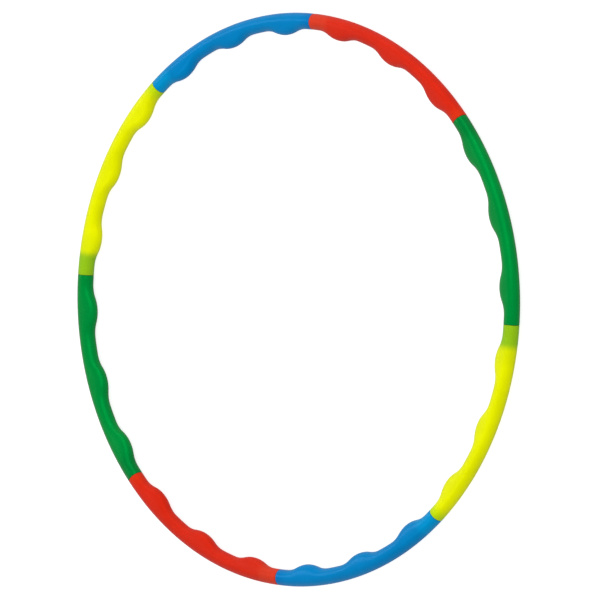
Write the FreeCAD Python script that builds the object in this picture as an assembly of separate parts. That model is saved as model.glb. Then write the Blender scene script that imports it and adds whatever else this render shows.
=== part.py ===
"""A round gymnastics hoop that comes apart into eight curved tube sections.

Each section is a hollow moulded tube, an eighth of the ring, with three rounded bumps on its inner
side. Its anticlockwise end is a socket. Its clockwise end is a straight neck, the plug, that slides
into the next section's socket. A bent spring clip in each plug carries a button, which stands
through the rear of the plug into a hole in the socket and locks the joint.

The hoop lies flat with its axis on Z, its front upward and its lowest point on z = 0. Joints are
numbered clockwise, seen from above, and joint 0, which is also joint 8, is on the +Y axis.
"""
import FreeCAD, Part
import math
import os

from FreeCAD import Vector

# Driving dimensions, in millimetres and degrees
HOOP_DIAMETER = 800.0  # over the outside of the tube
TUBE_DIAMETER = 22.4  # of the plain tube between bumps
WALL = 1.5
COLOURS = ("red", "green", "yellow", "blue")  # clockwise from joint 0
COLOUR_ROUNDS = 2

BUMPS_PER_SECTION = 3
BUMP_HEIGHT = 8.4  # added to the tube on its inner side
BUMP_CREST_RADIUS = 42.0  # of the arc over a bump's crest
BUMP_FOOT_RADIUS = 44.0  # of the hollow arcs that run from it into the plain tube

JOINT_GAP = 0.2  # between two sections' end faces
END_ROUNDING = 0.6  # on the outer edge of each end face

PLUG_LENGTH = 31.0  # from the joint to the plug's tip
PLUG_RADIUS = 8.8
PLUG_WALL = 1.4
PLUG_INSET = 0.6  # the plug's axis is this much nearer the hoop's centre than the tube's
PLUG_TIP_ROUNDING = 1.0
PLUG_CLEARANCE = 0.2  # all round, in the socket
SOCKET_DEPTH = 20.0  # the socket's straight guiding bore
MOUTH_CHAMFER = 0.4  # round the socket's opening
SHOULDER = 3.0  # the solid ring that carries the plug

BUTTON_RADIUS = 3.2
BUTTON_CLEARANCE = 0.3  # all round, in both holes
BUTTON_FROM_JOINT = 11.0
BUTTON_RECESS = 0.4  # its crown lies this much inside the tube's surface
BUTTON_ROUNDING = 1.3

STRIP_THICKNESS = 0.6
STRIP_WIDTH = 6.4
STRIP_SPREAD = 6.1  # from the plug's axis to the middle of either leg
STRIP_BEND_RADIUS = 2.8
STRIP_KNEE_RADIUS = 0.5  # where the lower leg starts to slope
STRIP_FOOT_RADIUS = 2.0  # where it levels out again
STRIP_START = 5.0  # where the upper leg ends, from the joint
STRIP_END = 27.5  # the outside of the bend, from the joint
STRIP_FOOT = 16.0  # where the lower leg levels out towards the button

STATION_STEP = 1.25  # between the cross-sections that a skin runs through

# Worked out from the above
SECTIONS = len(COLOURS) * COLOUR_ROUNDS
SECTION_ANGLE = 360.0 / SECTIONS
TUBE_RADIUS = TUBE_DIAMETER / 2
RING_RADIUS = HOOP_DIAMETER / 2 - TUBE_RADIUS  # of the tube's centre line
BUMP_PITCH = SECTION_ANGLE / BUMPS_PER_SECTION
QUARTER_HANDLE = 4 / 3 * (math.sqrt(2) - 1)  # makes a quarter circle of a cubic curve, per unit radius
UP = Vector(0, 0, 1)
ALONG_JOINT = Vector(1, 0, 0)  # clockwise, at joint 0
JOINT_CENTRE = Vector(0, RING_RADIUS - PLUG_INSET, TUBE_RADIUS)  # the plug's axis at joint 0
BUMP_RADII = BUMP_CREST_RADIUS + BUMP_FOOT_RADIUS
BUMP_HALF_LENGTH = math.sqrt(BUMP_HEIGHT * (2 * BUMP_RADII - BUMP_HEIGHT))  # crest to foot
BUMP_CREST_LENGTH = BUMP_HALF_LENGTH * BUMP_CREST_RADIUS / BUMP_RADII  # crest to where the arcs meet


def angle_over(arc_length):
    """The angle at the hoop's centre over a length of the tube's centre line."""
    return math.degrees(arc_length / RING_RADIUS)


def bump_height(angle):
    """How far the inner side stands out at an angle from the section's start."""
    from_crest = abs(angle % BUMP_PITCH - BUMP_PITCH / 2)
    length = math.radians(from_crest) * (RING_RADIUS - TUBE_RADIUS)
    if length <= BUMP_CREST_LENGTH:
        return BUMP_HEIGHT - BUMP_CREST_RADIUS + math.sqrt(BUMP_CREST_RADIUS**2 - length**2)
    to_foot = max(0.0, BUMP_HALF_LENGTH - length)
    return BUMP_FOOT_RADIUS - math.sqrt(BUMP_FOOT_RADIUS**2 - to_foot**2)


def cubic(*poles):
    """An edge on the cubic curve with four poles."""
    curve = Part.BezierCurve()
    curve.setPoles(poles)
    return curve.toShape()


def cross_section(angle, inset):
    """The tube's outline, inset by some of its wall: a circle whose inner side a bump draws inward."""
    radius = TUBE_RADIUS - inset
    bump = bump_height(angle)
    top, bottom, inmost = UP * radius, UP * -radius, Vector(0, -radius - bump, 0)
    inward = Vector(0, -QUARTER_HANDLE * radius - bump, 0)
    upward = UP * (QUARTER_HANDLE * radius)
    outer_half = Part.Arc(top, Vector(0, radius, 0), bottom).toShape()
    lower_quarter = cubic(bottom, bottom + inward, inmost - upward, inmost)
    upper_quarter = cubic(inmost, inmost + upward, top + inward, top)
    outline = Part.Wire([outer_half, lower_quarter, upper_quarter])
    outline.translate(Vector(0, RING_RADIUS, TUBE_RADIUS))
    outline.rotate(Vector(0, 0, 0), UP, -angle)
    return outline


def skin(first_angle, last_angle, inset):
    """A solid of the tube's shape between two angles, inset by some of its wall."""
    count = round((last_angle - first_angle) / STATION_STEP)
    step = (last_angle - first_angle) / count
    outlines = [cross_section(first_angle + n * step, inset) for n in range(count + 1)]
    return Part.makeLoft(outlines, True)


def at_joint(shape, number):
    """A copy of something modelled at joint 0, turned clockwise to another joint."""
    copy = shape.copy()
    copy.rotate(Vector(0, 0, 0), UP, -number * SECTION_ANGLE)
    return copy


def rod(radius, first, last):
    """A round bar on the plug's axis at joint 0, between two distances from the joint."""
    return Part.makeCylinder(radius, last - first, JOINT_CENTRE + ALONG_JOINT * first, ALONG_JOINT)


def button_hole():
    """A hole through the rear wall for the button, at joint 0."""
    foot = JOINT_CENTRE + ALONG_JOINT * BUTTON_FROM_JOINT
    return Part.makeCylinder(BUTTON_RADIUS + BUTTON_CLEARANCE, 2 * TUBE_RADIUS, foot, -UP)


def edges_in_plane(shape, point, normal):
    """The edges of a shape whose ends lie in a plane."""
    return [e for e in shape.Edges if all(abs((v.Point - point).dot(normal)) < 0.001 for v in e.Vertexes)]


def plug():
    """The neck at a section's clockwise end, with its tip rounded, at joint 0."""
    neck = rod(PLUG_RADIUS, -SHOULDER / 2, PLUG_LENGTH)
    tip = edges_in_plane(neck, JOINT_CENTRE + ALONG_JOINT * PLUG_LENGTH, ALONG_JOINT)
    return neck.makeFillet(PLUG_TIP_ROUNDING, tip)


def socket():
    """What is cut away for the next section's plug, with a chamfered mouth, at joint 0."""
    radius, mouth = PLUG_RADIUS + PLUG_CLEARANCE, JOINT_CENTRE + ALONG_JOINT * (JOINT_GAP / 2)
    cone = Part.makeCone(radius + MOUTH_CHAMFER, radius, MOUTH_CHAMFER, mouth, ALONG_JOINT)
    return rod(radius, -SHOULDER, SOCKET_DEPTH + SHOULDER).fuse(cone)


def section():
    """One tube section, from joint 0 to joint 1, with its socket, plug and button holes."""
    first = angle_over(JOINT_GAP / 2)
    last = SECTION_ANGLE - first
    tube = skin(first, last, 0)
    end_edges = []
    for end in (math.radians(first), math.radians(last)):
        end_edges += edges_in_plane(tube, Vector(), Vector(math.cos(end), -math.sin(end), 0))
    tube = tube.makeFillet(END_ROUNDING, end_edges)
    hollow = skin(angle_over(SOCKET_DEPTH), SECTION_ANGLE - angle_over(SHOULDER), WALL)
    body = tube.cut([hollow, socket(), button_hole()])
    body = body.fuse(at_joint(plug(), 1))
    neck_bore = rod(PLUG_RADIUS - PLUG_WALL, -2 * SHOULDER, PLUG_LENGTH + SHOULDER)
    return body.cut([at_joint(neck_bore, 1), at_joint(button_hole(), 1)]).removeSplitter()


def rounded_path(points, radii):
    """A wire of straight runs through the points, with a tangent arc at each inner point."""
    edges, start = [], points[0]
    for before, corner, after, radius in zip(points, points[1:], points[2:], radii):
        back, ahead = (before - corner).normalize(), (after - corner).normalize()
        half = back.getAngle(ahead) / 2
        first, last = (corner + way * (radius / math.tan(half)) for way in (back, ahead))
        middle = corner + (back + ahead).normalize() * (radius / math.sin(half) - radius)
        edges.append(Part.LineSegment(start, first).toShape())
        edges.append(Part.Arc(first, middle, last).toShape())
        start = last
    edges.append(Part.LineSegment(start, points[-1]).toShape())
    return Part.Wire(edges)


def in_plug(along, height):
    """A point in the plug's upright middle plane, from the joint and from the plug's axis."""
    return JOINT_CENTRE + ALONG_JOINT * along + UP * height


def snap_clip():
    """The bent spring strip with its button, in one piece, at joint 0."""
    bend_drop = 2 * STRIP_BEND_RADIUS + STRIP_THICKNESS
    middle_of_bend = STRIP_END - STRIP_THICKNESS / 2
    free_end = BUTTON_FROM_JOINT - BUTTON_RADIUS
    path = rounded_path(
        [
            in_plug(STRIP_START, STRIP_SPREAD),
            in_plug(middle_of_bend, STRIP_SPREAD),
            in_plug(middle_of_bend, STRIP_SPREAD - bend_drop),
            in_plug(middle_of_bend - STRIP_BEND_RADIUS - STRIP_THICKNESS, STRIP_SPREAD - bend_drop),
            in_plug(STRIP_FOOT, -STRIP_SPREAD),
            in_plug(free_end, -STRIP_SPREAD),
        ],
        [STRIP_BEND_RADIUS, STRIP_BEND_RADIUS, STRIP_KNEE_RADIUS, STRIP_FOOT_RADIUS],
    )
    corner = in_plug(STRIP_START, STRIP_SPREAD - STRIP_THICKNESS / 2) - Vector(0, STRIP_WIDTH / 2, 0)
    across, upward = Vector(0, STRIP_WIDTH, 0), UP * STRIP_THICKNESS
    outline = Part.makePolygon([corner, corner + across, corner + across + upward, corner + upward, corner])
    strip = path.makePipeShell([outline], True, True)
    crown = JOINT_CENTRE + ALONG_JOINT * BUTTON_FROM_JOINT
    crown.z = BUTTON_RECESS
    stem_height = TUBE_RADIUS - STRIP_SPREAD - BUTTON_RECESS
    button = Part.makeCylinder(BUTTON_RADIUS, stem_height, crown, UP)
    button = button.makeFillet(BUTTON_ROUNDING, edges_in_plane(button, crown, UP))
    return strip.fuse(button).removeSplitter()


def save(shape, name):
    """Write one node and say what it is, so that a bad solid shows at once."""
    shape.exportStep(f"parts/{name}.step")
    print(f"{name}: solids {len(shape.Solids)}, valid {shape.isValid()}, {shape.Volume / 1000:.2f} cm3")


def main():
    os.makedirs("parts", exist_ok=True)
    first_section, first_clip = section(), snap_clip()
    for number in range(SECTIONS):
        colour = COLOURS[number % len(COLOURS)]
        round_number = number // len(COLOURS) + 1
        save(at_joint(first_section, number), f"{colour}_section_{round_number}")
        save(at_joint(first_clip, number + 1), f"snap_clip_{number + 1}")


main()
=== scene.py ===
import math

import bpy
from mathutils import Matrix, Vector


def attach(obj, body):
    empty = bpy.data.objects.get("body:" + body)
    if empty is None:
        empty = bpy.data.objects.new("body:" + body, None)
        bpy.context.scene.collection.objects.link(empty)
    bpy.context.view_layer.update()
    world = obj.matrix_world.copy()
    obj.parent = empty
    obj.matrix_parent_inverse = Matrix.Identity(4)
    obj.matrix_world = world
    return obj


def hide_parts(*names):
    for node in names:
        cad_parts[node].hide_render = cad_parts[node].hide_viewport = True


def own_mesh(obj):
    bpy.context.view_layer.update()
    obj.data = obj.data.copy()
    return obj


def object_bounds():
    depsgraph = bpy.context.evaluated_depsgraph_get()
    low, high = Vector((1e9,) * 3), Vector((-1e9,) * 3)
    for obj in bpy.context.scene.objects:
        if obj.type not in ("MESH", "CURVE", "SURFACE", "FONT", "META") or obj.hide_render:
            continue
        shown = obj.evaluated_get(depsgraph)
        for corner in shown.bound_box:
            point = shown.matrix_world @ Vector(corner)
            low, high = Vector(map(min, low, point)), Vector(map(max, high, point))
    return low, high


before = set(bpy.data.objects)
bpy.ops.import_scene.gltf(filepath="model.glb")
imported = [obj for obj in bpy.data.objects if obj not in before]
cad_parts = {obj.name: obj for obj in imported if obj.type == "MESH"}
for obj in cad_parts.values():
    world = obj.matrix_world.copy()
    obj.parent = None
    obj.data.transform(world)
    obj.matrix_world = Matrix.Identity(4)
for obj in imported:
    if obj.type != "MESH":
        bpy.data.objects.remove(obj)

# A sectional gymnastics hoop, lying flat with its axis on Z. Joints are numbered clockwise, seen from
# above, from joint 0 on the +Y axis. Section k runs clockwise from joint k-1 to joint k.
cad_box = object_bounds()
MM = 0.001

# The hoop, in metres and degrees, as the frame has it
HOOP_RADIUS = (cad_box[1].x - cad_box[0].x) / 2
TUBE_RADIUS = (cad_box[1].z - cad_box[0].z) / 2
RING_RADIUS = HOOP_RADIUS - TUBE_RADIUS
COLOURS = ("red", "green", "yellow", "blue")
SECTIONS = 8
SECTION_ANGLE = 360 / SECTIONS
BUMP_PITCH = SECTION_ANGLE / 3
BUMP_HEIGHT = 8.4 * MM
BUMP_CREST_RADIUS = 42 * MM
BUMP_FOOT_RADIUS = 44 * MM
BUMP_RADII = BUMP_CREST_RADIUS + BUMP_FOOT_RADIUS
BUMP_HALF_LENGTH = math.sqrt(BUMP_HEIGHT * (2 * BUMP_RADII - BUMP_HEIGHT))
BUMP_CREST_LENGTH = BUMP_HALF_LENGTH * BUMP_CREST_RADIUS / BUMP_RADII
WALL = 1.5 * MM
JOINT_GAP = 0.2 * MM
END_ROUNDING = 0.6 * MM
PLUG_LENGTH = 31 * MM
PLUG_RADIUS = 8.8 * MM
PLUG_WALL = 1.4 * MM
PLUG_INSET = 0.6 * MM  # the plug's axis is this much nearer the hoop's centre than the tube's
PLUG_TIP_ROUNDING = 1 * MM
PLUG_ROOT_CHAMFER = 0.3 * MM
SOCKET_RADIUS = 9.0 * MM
SOCKET_DEPTH = 20 * MM
MOUTH_CHAMFER = 0.4 * MM
SHOULDER = 3 * MM
BUTTON_RADIUS = 3.2 * MM
BUTTON_HOLE_RADIUS = 3.5 * MM
BUTTON_FROM_JOINT = 11 * MM
BUTTON_RECESS = 0.4 * MM
BUTTON_ROUNDING = 1.3 * MM
SEAM_HEIGHT = 0.12 * MM  # the mould's parting line, along the inner and outer side
SEAM_HALF_WIDTH = 0.35 * MM

# The clip's strip, from the joint along the plug and from the plug's axis upward
STRIP_THICKNESS = 0.6 * MM
STRIP_WIDTH = 6.4 * MM
STRIP_SPREAD = 6.1 * MM
STRIP_BEND_RADIUS = 2.8 * MM
STRIP_KNEE_RADIUS = 0.5 * MM
STRIP_FOOT_RADIUS = 2 * MM
STRIP_START = 5 * MM
STRIP_END = 27.5 * MM
STRIP_FOOT = 16 * MM
STRIP_EDGE_ROUNDING = 0.1 * MM

AROUND_STEPS = 64  # points round the tube, besides those at the seams
STATION_STEP = 0.5  # degrees between the rings of a section's skin
SKIN_MARGIN = 1  # degrees from a joint to the first of those rings
PLUG_STEPS = 8  # lengths that the plug's outside and its bore are divided into
SOCKET_STEPS = 5  # the same for the socket's bore
ROUNDING_STEPS = 4  # steps of the rounded edges of a section
CROWN_STEPS = 6  # steps of the rounded edge of a button
QUARTER_HANDLE = 4 / 3 * (math.sqrt(2) - 1)  # makes a quarter circle of a cubic curve, per unit radius


def direction(angle):
    """(outward, clockwise) at an angle clockwise from +Y."""
    a = math.radians(angle)
    return Vector((math.sin(a), math.cos(a), 0)), Vector((math.cos(a), -math.sin(a), 0))


def angle_over(arc_length):
    return math.degrees(arc_length / RING_RADIUS)


def bump_height(angle):
    """How far the inner side stands out at an angle from the section's start."""
    from_crest = abs(angle % BUMP_PITCH - BUMP_PITCH / 2)
    length = math.radians(from_crest) * (RING_RADIUS - TUBE_RADIUS)
    if length <= BUMP_CREST_LENGTH:
        return BUMP_HEIGHT - BUMP_CREST_RADIUS + math.sqrt(BUMP_CREST_RADIUS**2 - length**2)
    to_foot = max(0.0, BUMP_HALF_LENGTH - length)
    return BUMP_FOOT_RADIUS - math.sqrt(BUMP_FOOT_RADIUS**2 - to_foot**2)


def columns():
    """Angles round the tube, from its outermost side over its top, with close ones at the two seams."""
    half_seam = SEAM_HALF_WIDTH / TUBE_RADIUS
    even = [2 * math.pi * n / AROUND_STEPS for n in range(AROUND_STEPS)]
    close = [side + part * half_seam for side in (0, math.pi) for part in (-1, -0.4, 0, 0.4, 1)]
    return sorted({round(t % (2 * math.pi), 6) for t in even + close})


COLUMNS = columns()


def inner_point(t, radius, bump):
    """(inward, up) on the tube's inner side, at an angle round from its inmost point."""
    u = abs(t) / (math.pi / 2)
    handle = QUARTER_HANDLE * radius
    weights = ((1 - u) ** 3, 3 * u * (1 - u) ** 2, 3 * u**2 * (1 - u), u**3)
    inward = sum(w * x for w, x in zip(weights, (radius + bump, radius + bump, handle + bump, 0)))
    up = sum(w * z for w, z in zip(weights, (0, handle, radius, radius)))
    return inward, math.copysign(up, t)


def skin_ring(start, along, inset, seam=0.0):
    """Points round the tube, at an angle along a section from its start, inset from the surface."""
    outward, _ = direction(start + along)
    radius, bump = TUBE_RADIUS - inset, bump_height(along)
    points = []
    for t in COLUMNS:
        if math.cos(t) < 0:
            inward, up = inner_point(math.pi - t, radius, bump)
        else:
            inward, up = -radius * math.cos(t), radius * math.sin(t)
        off_seam = min(1, abs(math.sin(t)) * TUBE_RADIUS / SEAM_HALF_WIDTH)
        inward -= math.copysign(seam * (1 - off_seam), math.cos(t))
        points.append(outward * (RING_RADIUS - inward) + Vector((0, 0, TUBE_RADIUS + up)))
    return points


def joint_axis(angle):
    """Where a plug's axis meets the joint at an angle, with the outward and clockwise ways there."""
    outward, clockwise = direction(angle)
    return outward * (RING_RADIUS - PLUG_INSET) + Vector((0, 0, TUBE_RADIUS)), outward, clockwise


def round_ring(angle, from_joint, radius):
    """Points of a circle about the plug's axis at the joint at an angle."""
    centre, outward, clockwise = joint_axis(angle)
    centre = centre + clockwise * from_joint
    up = Vector((0, 0, 1))
    return [centre + outward * math.cos(t) * radius + up * math.sin(t) * radius for t in COLUMNS]


def quarter(steps):
    """(sine, cosine) over a quarter turn, both ends left in."""
    return [(math.sin(a), math.cos(a)) for a in (math.pi / 2 * n / steps for n in range(steps + 1))]


BODY, PLUG, INSIDE = range(3)  # material slots of a section


def section_rings(start):
    """The closed run of rings that makes a section, as (points, slot of the band before the ring)."""
    end = start + SECTION_ANGLE
    first = angle_over(JOINT_GAP / 2)
    last = SECTION_ANGLE - first
    rounding = angle_over(END_ROUNDING)
    rings = []
    # the rounded edge at the socket end, the outer skin, and the rounded edge at the plug end
    for s, c in quarter(ROUNDING_STEPS):
        rings.append((skin_ring(start, first + rounding * (1 - c), END_ROUNDING * (1 - s)), BODY))
    for n in range(round((SECTION_ANGLE - 2 * SKIN_MARGIN) / STATION_STEP) + 1):
        rings.append((skin_ring(start, SKIN_MARGIN + n * STATION_STEP, 0, SEAM_HEIGHT), BODY))
    for s, c in quarter(ROUNDING_STEPS):
        rings.append((skin_ring(start, last - rounding * (1 - s), END_ROUNDING * (1 - c)), BODY))
    # the end face, the plug's outside, its rounded tip and its bore
    root, straight = PLUG_ROOT_CHAMFER, PLUG_LENGTH - PLUG_TIP_ROUNDING
    rings.append((round_ring(end, -JOINT_GAP / 2, PLUG_RADIUS + root), BODY))
    rings.append((round_ring(end, -JOINT_GAP / 2 + root, PLUG_RADIUS), PLUG))
    for n in range(1, PLUG_STEPS + 1):
        rings.append((round_ring(end, straight * n / PLUG_STEPS, PLUG_RADIUS), PLUG))
    for s, c in quarter(ROUNDING_STEPS)[1:]:
        tip_radius = PLUG_RADIUS - PLUG_TIP_ROUNDING * (1 - c)
        rings.append((round_ring(end, straight + PLUG_TIP_ROUNDING * s, tip_radius), PLUG))
    bore = PLUG_RADIUS - PLUG_WALL
    rings.append((round_ring(end, PLUG_LENGTH, bore + root / 2), PLUG))
    rings.append((round_ring(end, PLUG_LENGTH - root, bore), INSIDE))
    for n in range(1, PLUG_STEPS + 1):
        rings.append((round_ring(end, straight * (PLUG_STEPS - n) / PLUG_STEPS, bore), INSIDE))
    rings.append((round_ring(end, -SHOULDER, bore), INSIDE))
    # the hollow, back to the socket
    hollow_last = SECTION_ANGLE - angle_over(SHOULDER)
    hollow_first = angle_over(SOCKET_DEPTH)
    hollow_steps = round(hollow_last - hollow_first)
    for n in range(hollow_steps + 1):
        along = hollow_last + (hollow_first - hollow_last) * n / hollow_steps
        rings.append((skin_ring(start, along, WALL), INSIDE))
    # the socket's bore, its chamfered mouth and the end face
    mouth = JOINT_GAP / 2
    for n in range(SOCKET_STEPS + 1):
        depth = SOCKET_DEPTH + (mouth + MOUTH_CHAMFER - SOCKET_DEPTH) * n / SOCKET_STEPS
        rings.append((round_ring(start, depth, SOCKET_RADIUS), INSIDE))
    rings.append((round_ring(start, mouth, SOCKET_RADIUS + MOUTH_CHAMFER), BODY))
    return rings


def mesh_from_rings(name, rings):
    """A closed mesh whose rings join each to the next, and the last to the first."""
    width, count = len(rings[0][0]), len(rings)
    points = [p for ring, _ in rings for p in ring]
    faces, slots = [], []
    for r in range(count):
        after = (r + 1) % count
        for c in range(width):
            beside = (c + 1) % width
            faces.append((r * width + c, r * width + beside, after * width + beside, after * width + c))
            slots.append(rings[after][1])
    mesh = bpy.data.meshes.new(name)
    mesh.from_pydata(points, [], faces)
    mesh.polygons.foreach_set("material_index", slots)
    return mesh


def add_object(name, mesh):
    obj = bpy.data.objects.new(name, mesh)
    bpy.context.scene.collection.objects.link(obj)
    return obj


def lathe(name, profile, centre, steps=48):
    """A closed body turned about an upright line, from (radius, height) pairs, axis to axis."""
    points = [centre + Vector((0, 0, profile[0][1]))]
    for radius, height in profile[1:-1]:
        for n in range(steps):
            a = 2 * math.pi * n / steps
            points.append(centre + Vector((radius * math.cos(a), radius * math.sin(a), height)))
    points.append(centre + Vector((0, 0, profile[-1][1])))
    faces = [(0, 1 + (n + 1) % steps, 1 + n) for n in range(steps)]
    for r in range(len(profile) - 3):
        for n in range(steps):
            near, far = 1 + r * steps, 1 + (r + 1) * steps
            after = (n + 1) % steps
            faces.append((near + n, near + after, far + after, far + n))
    top = 1 + (len(profile) - 3) * steps
    faces += [(top + n, top + (n + 1) % steps, len(points) - 1) for n in range(steps)]
    mesh = bpy.data.meshes.new(name)
    mesh.from_pydata(points, [], faces)
    return mesh


def smooth(mesh, sharp_angle=35):
    mesh.validate()
    mesh.polygons.foreach_set("use_smooth", [True] * len(mesh.polygons))
    mesh.set_sharp_from_angle(angle=math.radians(sharp_angle))
    return mesh


def button_place(angle):
    """The point under a joint's button, on the floor."""
    centre, _, clockwise = joint_axis(angle)
    place = centre + clockwise * BUTTON_FROM_JOINT
    place.z = 0
    return place


def cut_button_hole(obj, angle):
    """Cuts the round hole for a joint's button through the rear wall."""
    first_height, last_height = -1 * MM, TUBE_RADIUS / 2
    radius = BUTTON_HOLE_RADIUS
    profile = [(0, first_height), (radius, first_height), (radius, last_height), (0, last_height)]
    cutter = add_object("cutter", lathe("cutter", profile, button_place(angle)))
    modifier = obj.modifiers.new("hole", "BOOLEAN")
    modifier.operation = "DIFFERENCE"
    modifier.solver = "EXACT"
    modifier.object = cutter
    made = bpy.data.meshes.new_from_object(obj.evaluated_get(bpy.context.evaluated_depsgraph_get()))
    obj.modifiers.clear()
    obj.data = made
    bpy.data.objects.remove(cutter)


def make_section(number, materials):
    """One moulded tube section, in place of its CAD node."""
    colour = COLOURS[(number - 1) % len(COLOURS)]
    node = f"{colour}_section_{(number - 1) // len(COLOURS) + 1}"
    start = (number - 1) * SECTION_ANGLE
    mesh = mesh_from_rings(node, section_rings(start))
    for material in materials[colour]:
        mesh.materials.append(material)
    piece = add_object(f"{node}.shell", mesh)
    cut_button_hole(piece, start)
    cut_button_hole(piece, start + SECTION_ANGLE)
    smooth(piece.data)
    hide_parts(node)
    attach(piece, node)
    return node


def rounded_line(points, radii, steps=8):
    """Points along straight runs through the given ones, with a tangent arc at each inner one."""
    line = [points[0]]
    for before, corner, after, radius in zip(points, points[1:], points[2:], radii):
        back, ahead = (before - corner).normalized(), (after - corner).normalized()
        half = back.angle(ahead) / 2
        centre = corner + (back + ahead).normalized() * (radius / math.sin(half))
        first, last = (corner + way * (radius / math.tan(half)) - centre for way in (back, ahead))
        line += [centre + first.slerp(last, n / steps) * radius for n in range(steps + 1)]
    return line + [points[-1]]


def strip_outline(way, across, rounding):
    """The strip's cross-section about its middle, or with no rounding the smaller one of its ends."""
    thick = across.cross(way)
    half_width = STRIP_WIDTH / 2 - STRIP_EDGE_ROUNDING
    half_thickness = STRIP_THICKNESS / 2 - STRIP_EDGE_ROUNDING
    outline = []
    for corner in range(4):
        side = 1 if corner in (0, 3) else -1
        face = 1 if corner in (0, 1) else -1
        for part in range(4):
            a = math.pi / 2 * (corner + part / 3)
            sideways = side * half_width + rounding * math.cos(a)
            outline.append(across * sideways + thick * (face * half_thickness + rounding * math.sin(a)))
    return outline


def make_strip(name, line, across):
    """A flat strip of the clip's width and thickness along a line, with its edges rounded."""
    rings = []
    for n, p in enumerate(line):
        way = (line[min(n + 1, len(line) - 1)] - line[max(n - 1, 0)]).normalized()
        end_outline = strip_outline(way, across, 0)
        outline = strip_outline(way, across, STRIP_EDGE_ROUNDING)
        step = way * STRIP_EDGE_ROUNDING
        if n == 0:
            rings.append([p + q for q in end_outline])
            p = p + step
        if n == len(line) - 1:
            rings.append([p - step + q for q in outline])
            rings.append([p + q for q in end_outline])
        else:
            rings.append([p + q for q in outline])
    width = len(rings[0])
    faces = [list(range(width))[::-1], [width * (len(rings) - 1) + c for c in range(width)]]
    for r in range(len(rings) - 1):
        for c in range(width):
            a, b = width * r + c, width * r + (c + 1) % width
            faces.append((a, b, b + width, a + width))
    mesh = bpy.data.meshes.new(name)
    mesh.from_pydata([p for ring in rings for p in ring], [], faces)
    return add_object(name, smooth(mesh))


def make_clip(number, section, steel):
    """A spring clip: the strip stays in the plug, the button moves with the CAD node."""
    angle = number * SECTION_ANGLE
    centre, outward, clockwise = joint_axis(angle)

    def at(along, height):
        return centre + clockwise * along + Vector((0, 0, height))

    lower_side = STRIP_SPREAD - 2 * STRIP_BEND_RADIUS - STRIP_THICKNESS
    bend = STRIP_END - STRIP_THICKNESS / 2
    line = rounded_line(
        [
            at(STRIP_START, STRIP_SPREAD),
            at(bend, STRIP_SPREAD),
            at(bend, lower_side),
            at(bend - STRIP_BEND_RADIUS - STRIP_THICKNESS, lower_side),
            at(STRIP_FOOT, -STRIP_SPREAD),
            at(BUTTON_FROM_JOINT - BUTTON_RADIUS, -STRIP_SPREAD),
        ],
        [STRIP_BEND_RADIUS, STRIP_BEND_RADIUS, STRIP_KNEE_RADIUS, STRIP_FOOT_RADIUS],
    )
    strip = make_strip(f"snap_clip_{number}.strip", line, outward)
    strip.data.materials.append(steel)
    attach(strip, section)
    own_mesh(strip)
    top = TUBE_RADIUS - STRIP_SPREAD
    profile = [(0, BUTTON_RECESS)]
    for s, c in quarter(CROWN_STEPS):
        height = BUTTON_RECESS + BUTTON_ROUNDING * (1 - c)
        profile.append((BUTTON_RADIUS - BUTTON_ROUNDING * (1 - s), height))
    profile += [(BUTTON_RADIUS, top), (0, top)]
    turned = smooth(lathe("button", profile, button_place(angle)))
    button = add_object(f"snap_clip_{number}.button", turned)
    button.data.materials.append(steel)
    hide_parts(f"snap_clip_{number}")
    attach(button, f"snap_clip_{number}")


class Nodes:
    """A material's node tree, with short ways to add and join nodes."""

    def __init__(self, name):
        self.material = bpy.data.materials.new(name)
        self.material.use_nodes = True
        self.tree = self.material.node_tree
        self.shader = self.tree.nodes["Principled BSDF"]

    def add(self, kind, inputs=(), **settings):
        node = self.tree.nodes.new(kind)
        for key, value in settings.items():
            setattr(node, key, value)
        for socket, value in dict(inputs).items():
            if isinstance(value, bpy.types.NodeSocket):
                self.tree.links.new(value, node.inputs[socket])
            else:
                node.inputs[socket].default_value = value
        return node

    def math(self, operation, a, b=0.0):
        return self.add("ShaderNodeMath", {0: a, 1: b}, operation=operation).outputs[0]

    def ramp(self, value, low, high, to_low=0.0, to_high=1.0):
        """A smooth step of value from low to high."""
        inputs = {"Value": value, "From Min": low, "From Max": high, "To Min": to_low, "To Max": to_high}
        return self.add("ShaderNodeMapRange", inputs, interpolation_type="SMOOTHSTEP").outputs["Result"]

    def noise(self, position, scale, detail=2.0):
        inputs = {"Vector": position, "Scale": scale, "Detail": detail}
        return self.add("ShaderNodeTexNoise", inputs).outputs["Fac"]

    def mix(self, factor, a, b):
        node = self.add("ShaderNodeMix", data_type="RGBA")
        for socket, value in ((node.inputs[0], factor), (node.inputs[6], a), (node.inputs[7], b)):
            if isinstance(value, bpy.types.NodeSocket):
                self.tree.links.new(value, socket)
            else:
                socket.default_value = value
        return node.outputs[2]

    def bump(self, height, strength, distance, under=None):
        """The normal over a height, on top of an earlier normal if one is given."""
        inputs = {"Height": height, "Strength": strength, "Distance": distance}
        if under is not None:
            inputs["Normal"] = under
        return self.add("ShaderNodeBump", inputs).outputs[0]

    def feed(self, socket, value):
        self.tree.links.new(value, self.shader.inputs[socket])


def linear(red, green, blue):
    """A colour given in 0-255 display values, as the shader takes it."""
    def one(v):
        v /= 255
        return v / 12.92 if v <= 0.04045 else ((v + 0.055) / 1.055) ** 2.4
    return one(red), one(green), one(blue), 1.0


# Each colour: the plastic, the same with the neighbour's plug behind it, and the tint at the plug end,
# which on the blue is a painted shade
PAINT = {
    "red": ((212, 40, 19), (215, 58, 33), (216, 51, 20)),
    "green": ((0, 135, 56), (0, 122, 51), (0, 134, 53)),
    "yellow": ((234, 240, 0), (142, 194, 28), (188, 221, 14)),
    "blue": ((0, 129, 194), (0, 146, 206), (0, 116, 185)),
}
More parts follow.
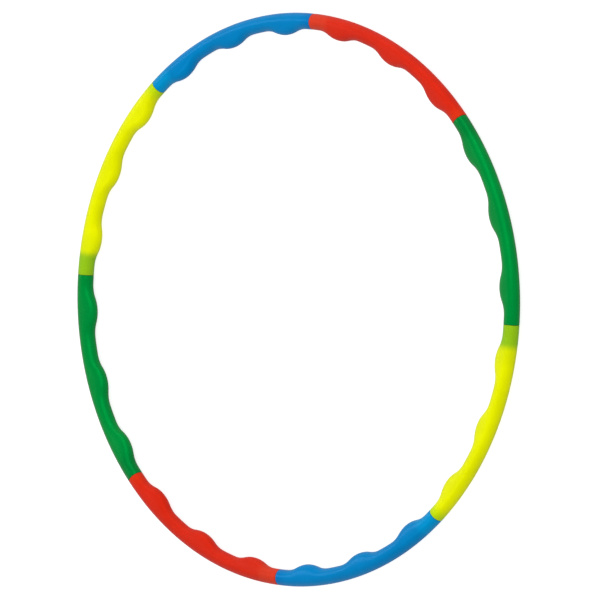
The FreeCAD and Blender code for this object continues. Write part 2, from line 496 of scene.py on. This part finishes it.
# Each colour's roughness, in the smoothest and the dullest patches, and the strength of its highlights
GLOSS = {
    "red": (0.36, 0.44, 0.5),
    "green": (0.20, 0.28, 0.5),
    "yellow": (0.30, 0.38, 0.5),
    "blue": (0.16, 0.24, 0.32),
}
# the colour of the painted shadow laid along the gap at each joint
JOINT_SHADOW = (0.012, 0.012, 0.014, 1)

# How the colour changes along a section, in degrees and shares. The neighbour's plug shows up to its
# tip, and a little more near the joint. The clockwise end is tinted, with painted shade on the blue,
# and a painted shadow darkens the gap at each joint.
TIP_BEFORE, TIP_AFTER, PLUG_SHARE = 1, 0.9, 0.8
NEAR_JOINT = (4, 10, 0.2, 0)  # the degrees it fades over, and the shares it fades from and to
END_SHADE_AND_TINT_LENGTH = 3.5
JOINT_DARKNESS = (0.03, 0.15, 0.35, 0)  # in the same order

# Scales of the noise in the plastic, the steel and the floor
CLOUD_SCALE, PATCH_SCALE, GRAIN_SCALE = 28, 90, 900
STEEL_MARK_SCALE, STEEL_PATCH_SCALE = 1400, 260
FLOOR_SCALE = 3


def moulded_colour(n, position, plain, over_plug, end_shade_and_tint):
    """The colour along a section, with the plug behind the wall and a painted shadow line at each joint.
    """
    xyz = n.add("ShaderNodeSeparateXYZ", {0: position})
    turn = n.math("ARCTAN2", xyz.outputs["X"], xyz.outputs["Y"])
    degrees = n.math("ADD", n.math("MULTIPLY", turn, 180 / math.pi), 360)
    along = n.math("MODULO", degrees, SECTION_ANGLE)
    plug_end = angle_over(PLUG_LENGTH)
    to_tip = n.ramp(along, plug_end - TIP_BEFORE, plug_end + TIP_AFTER, PLUG_SHARE, 0)
    show_through = n.math("ADD", to_tip, n.ramp(along, *NEAR_JOINT))
    colour = n.mix(show_through, linear(*plain), linear(*over_plug))
    # painted shade: the colour turns to the end tint towards the plug end, darker on the blue
    end_shade_and_tint_mask = n.ramp(along, SECTION_ANGLE - END_SHADE_AND_TINT_LENGTH, SECTION_ANGLE)
    colour = n.mix(end_shade_and_tint_mask, colour, linear(*end_shade_and_tint))
    from_joint = n.math("MINIMUM", along, n.math("SUBTRACT", SECTION_ANGLE, along))
    # painted shadow in the gap at each joint
    return n.mix(n.ramp(from_joint, *JOINT_DARKNESS), colour, JOINT_SHADOW)


def moulded_plastic(name, gloss, plain, over_plug=None, end_shade_and_tint=None):
    """Satin moulded polyethylene, a little uneven. A plug behind the wall shows through."""
    smoothest, dullest, strength = gloss
    n = Nodes(name)
    position = n.add("ShaderNodeTexCoord").outputs["Object"]
    colour = linear(*plain)
    if over_plug:
        colour = moulded_colour(n, position, plain, over_plug, end_shade_and_tint)
    cloud = n.ramp(n.noise(position, CLOUD_SCALE, 3), 0.3, 0.7, 0.965, 1.035)
    n.feed("Base Color", n.add("ShaderNodeHueSaturation", {"Value": cloud, "Color": colour}).outputs[0])
    grain = n.noise(position, GRAIN_SCALE, 2)
    patches = n.noise(position, PATCH_SCALE, 3)
    roughness = n.ramp(patches, 0.25, 0.75, smoothest, dullest)
    n.feed("Roughness", n.math("ADD", roughness, n.ramp(grain, 0.3, 0.7, -0.01, 0.01)))
    skin = n.bump(grain, 0.05, 0.03 * MM)
    n.feed("Normal", n.bump(patches, 0.15, 0.3 * MM, skin))
    n.shader.inputs["IOR"].default_value = 1.51
    n.shader.inputs["Specular IOR Level"].default_value = strength
    paint = linear(*plain)[:3]
    n.shader.inputs["Specular Tint"].default_value = (*(part / max(paint) for part in paint), 1)
    return n.material


def sprung_steel(name):
    """Plated spring steel, with fine rolling marks and dull patches."""
    n = Nodes(name)
    position = n.add("ShaderNodeTexCoord").outputs["Object"]
    stretch = n.add("ShaderNodeMapping", {"Vector": position, "Scale": (1, 1, 14)}).outputs[0]
    marks = n.noise(stretch, STEEL_MARK_SCALE, 4)
    patches = n.noise(position, STEEL_PATCH_SCALE, 2)
    n.feed("Base Color", n.mix(n.ramp(patches, 0.3, 0.7), (0.50, 0.51, 0.53, 1), (0.66, 0.67, 0.69, 1)))
    n.feed("Roughness", n.ramp(marks, 0.3, 0.7, 0.2, 0.36))
    n.feed("Normal", n.bump(marks, 0.15, 0.03 * MM))
    n.shader.inputs["Metallic"].default_value = 1.0
    return n.material


def make_hoop():
    plastics = {}
    for colour, (plain, over_plug, end_shade_and_tint) in PAINT.items():
        gloss = GLOSS[colour]
        plug = moulded_plastic(f"{colour}_plug_plastic", gloss, plain)
        outside = moulded_plastic(f"{colour}_plastic", gloss, plain, over_plug, end_shade_and_tint)
        plastics[colour] = (outside, plug, plug)
    steel = sprung_steel("spring_steel")
    for number in range(1, SECTIONS + 1):
        node = make_section(number, plastics)
        make_clip(number, node, steel)


def floor_material():
    n = Nodes("pale_floor")
    position = n.add("ShaderNodeTexCoord").outputs["Object"]
    greys = (0.70, 0.70, 0.70, 1), (0.73, 0.73, 0.73, 1)
    n.feed("Base Color", n.mix(n.noise(position, FLOOR_SCALE, 4), *greys))
    n.shader.inputs["Roughness"].default_value = 0.9
    n.shader.inputs["Specular IOR Level"].default_value = 0.1
    n.shader.inputs["Emission Color"].default_value = (1, 1, 1, 1)
    n.shader.inputs["Emission Strength"].default_value = 0.7
    return n.material


FLOOR_REACH = 40  # metres from the hoop's axis, so that its edge lies at the horizon


def make_floor():
    mesh = bpy.data.meshes.new("floor")
    corners = [(x * FLOOR_REACH, y * FLOOR_REACH, 0) for x, y in ((-1, -1), (1, -1), (1, 1), (-1, 1))]
    mesh.from_pydata(corners, [], [(0, 1, 2, 3)])
    mesh.materials.append(floor_material())
    floor = add_object("floor", mesh)
    return floor


# How the hoop is seen, in degrees and metres: from above, leaned over towards the right, and turned so
# that joint 0 is a little right of the top
VIEW_LEAN = 40.1
VIEW_TURN = 6.1
VIEW_ROLL = -1.24
VIEW_DISTANCE = 30.0
LONG_AXIS_IN_FRAME = 573.9 / 600  # the outline's length, as a share of the frame
SENSOR_WIDTH = 36  # mm
SIGHT_END = 200  # metres, past the floor's corners
FRAME_SHIFT = (0.0052, -0.0006)  # the hoop stands a little left of the frame's middle


def view_rotation():
    turn = Matrix.Rotation(math.radians(VIEW_TURN), 3, "Z")
    lean = Matrix.Rotation(math.radians(VIEW_LEAN), 3, "Y")
    return turn @ lean @ Matrix.Rotation(math.radians(VIEW_ROLL), 3, "Z")


def make_camera():
    rotation = view_rotation()
    place = Vector((0, 0, TUBE_RADIUS)) + rotation @ Vector((0, 0, VIEW_DISTANCE))
    data = bpy.data.cameras.new("camera")
    data.sensor_width = SENSOR_WIDTH
    data.lens = LONG_AXIS_IN_FRAME * SENSOR_WIDTH * VIEW_DISTANCE / (2 * HOOP_RADIUS)
    data.shift_x, data.shift_y = FRAME_SHIFT
    data.clip_end = SIGHT_END
    camera = bpy.data.objects.new("camera", data)
    bpy.context.scene.collection.objects.link(camera)
    camera.matrix_world = Matrix.Translation(place) @ rotation.to_4x4()
    bpy.context.scene.camera = camera


LIGHT_DISTANCE = 8  # metres
# Each softbox: its way from the hoop before the view's turn, width, height and brightness
SOFTBOXES = {
    "large_softbox": ((0.60, 0.42, 0.67), 6, 6, 1.75),
    "far_softbox": ((0.08, 0.83, 0.52), 9, 2.2, 2.15),
    "left_softbox": ((-0.66, 0.25, 0.70), 2.2, 4, 2.15),
    "near_softbox": ((-0.2, -0.38, 0.9), 4, 2.2, 2.15),
}


def collected(name, objects):
    collection = bpy.data.collections.new(name)
    for obj in objects:
        collection.objects.link(obj)
    return collection


def add_light(name, kind, way, lit, **settings):
    """A light on a given way from the hoop, facing it, that lights only one collection."""
    data = bpy.data.lights.new(name, kind)
    for key, value in settings.items():
        setattr(data, key, value)
    light = bpy.data.objects.new(name, data)
    bpy.context.scene.collection.objects.link(light)
    light.location = way * LIGHT_DISTANCE
    light.rotation_euler = way.to_track_quat("Z", "Y").to_euler()
    light.light_linking.receiver_collection = lit


def make_lights(floor):
    """Softboxes light the hoop. The floor has a light and a glow of its own, so it stays white."""
    hoop = collected("hoop", [o for o in bpy.context.scene.objects if o.type == "MESH" and o != floor])
    turn = Matrix.Rotation(math.radians(VIEW_TURN), 3, "Z")
    for name, (way, width, height, brightness) in SOFTBOXES.items():
        add_light(
            name, "AREA", turn @ Vector(way).normalized(), hoop,
            shape="RECTANGLE", size=width, size_y=height, energy=brightness * math.pi * width * height,
        )
    ground = collected("ground", [floor])
    add_light("floor_light", "SUN", Vector((0, 0, 1)), ground, energy=0.4, use_shadow=False)
    floor.light_linking.receiver_collection = ground


HORIZON = (0.01, 0.12)  # the world dims between these heights of a way
WORLD_STRENGTHS = (1.05, 0.6)  # at the horizon and above


def make_world():
    """A pale studio all round, as white as the floor at the horizon."""
    world = bpy.data.worlds.new("studio")
    world.use_nodes = True
    tree = world.node_tree
    background = tree.nodes["Background"]
    background.inputs["Color"].default_value = (1, 1, 1, 1)
    way = tree.nodes.new("ShaderNodeTexCoord")
    parts = tree.nodes.new("ShaderNodeSeparateXYZ")
    dimming = tree.nodes.new("ShaderNodeMapRange")
    dimming.interpolation_type = "SMOOTHSTEP"
    steps = zip(("From Min", "From Max", "To Min", "To Max"), HORIZON + WORLD_STRENGTHS)
    for socket, value in steps:
        dimming.inputs[socket].default_value = value
    tree.links.new(way.outputs["Generated"], parts.inputs[0])
    tree.links.new(parts.outputs["Z"], dimming.inputs["Value"])
    tree.links.new(dimming.outputs["Result"], background.inputs["Strength"])
    bpy.context.scene.world = world
    bpy.context.scene.view_settings.view_transform = "Standard"


make_hoop()
make_camera()
make_lights(make_floor())
make_world()
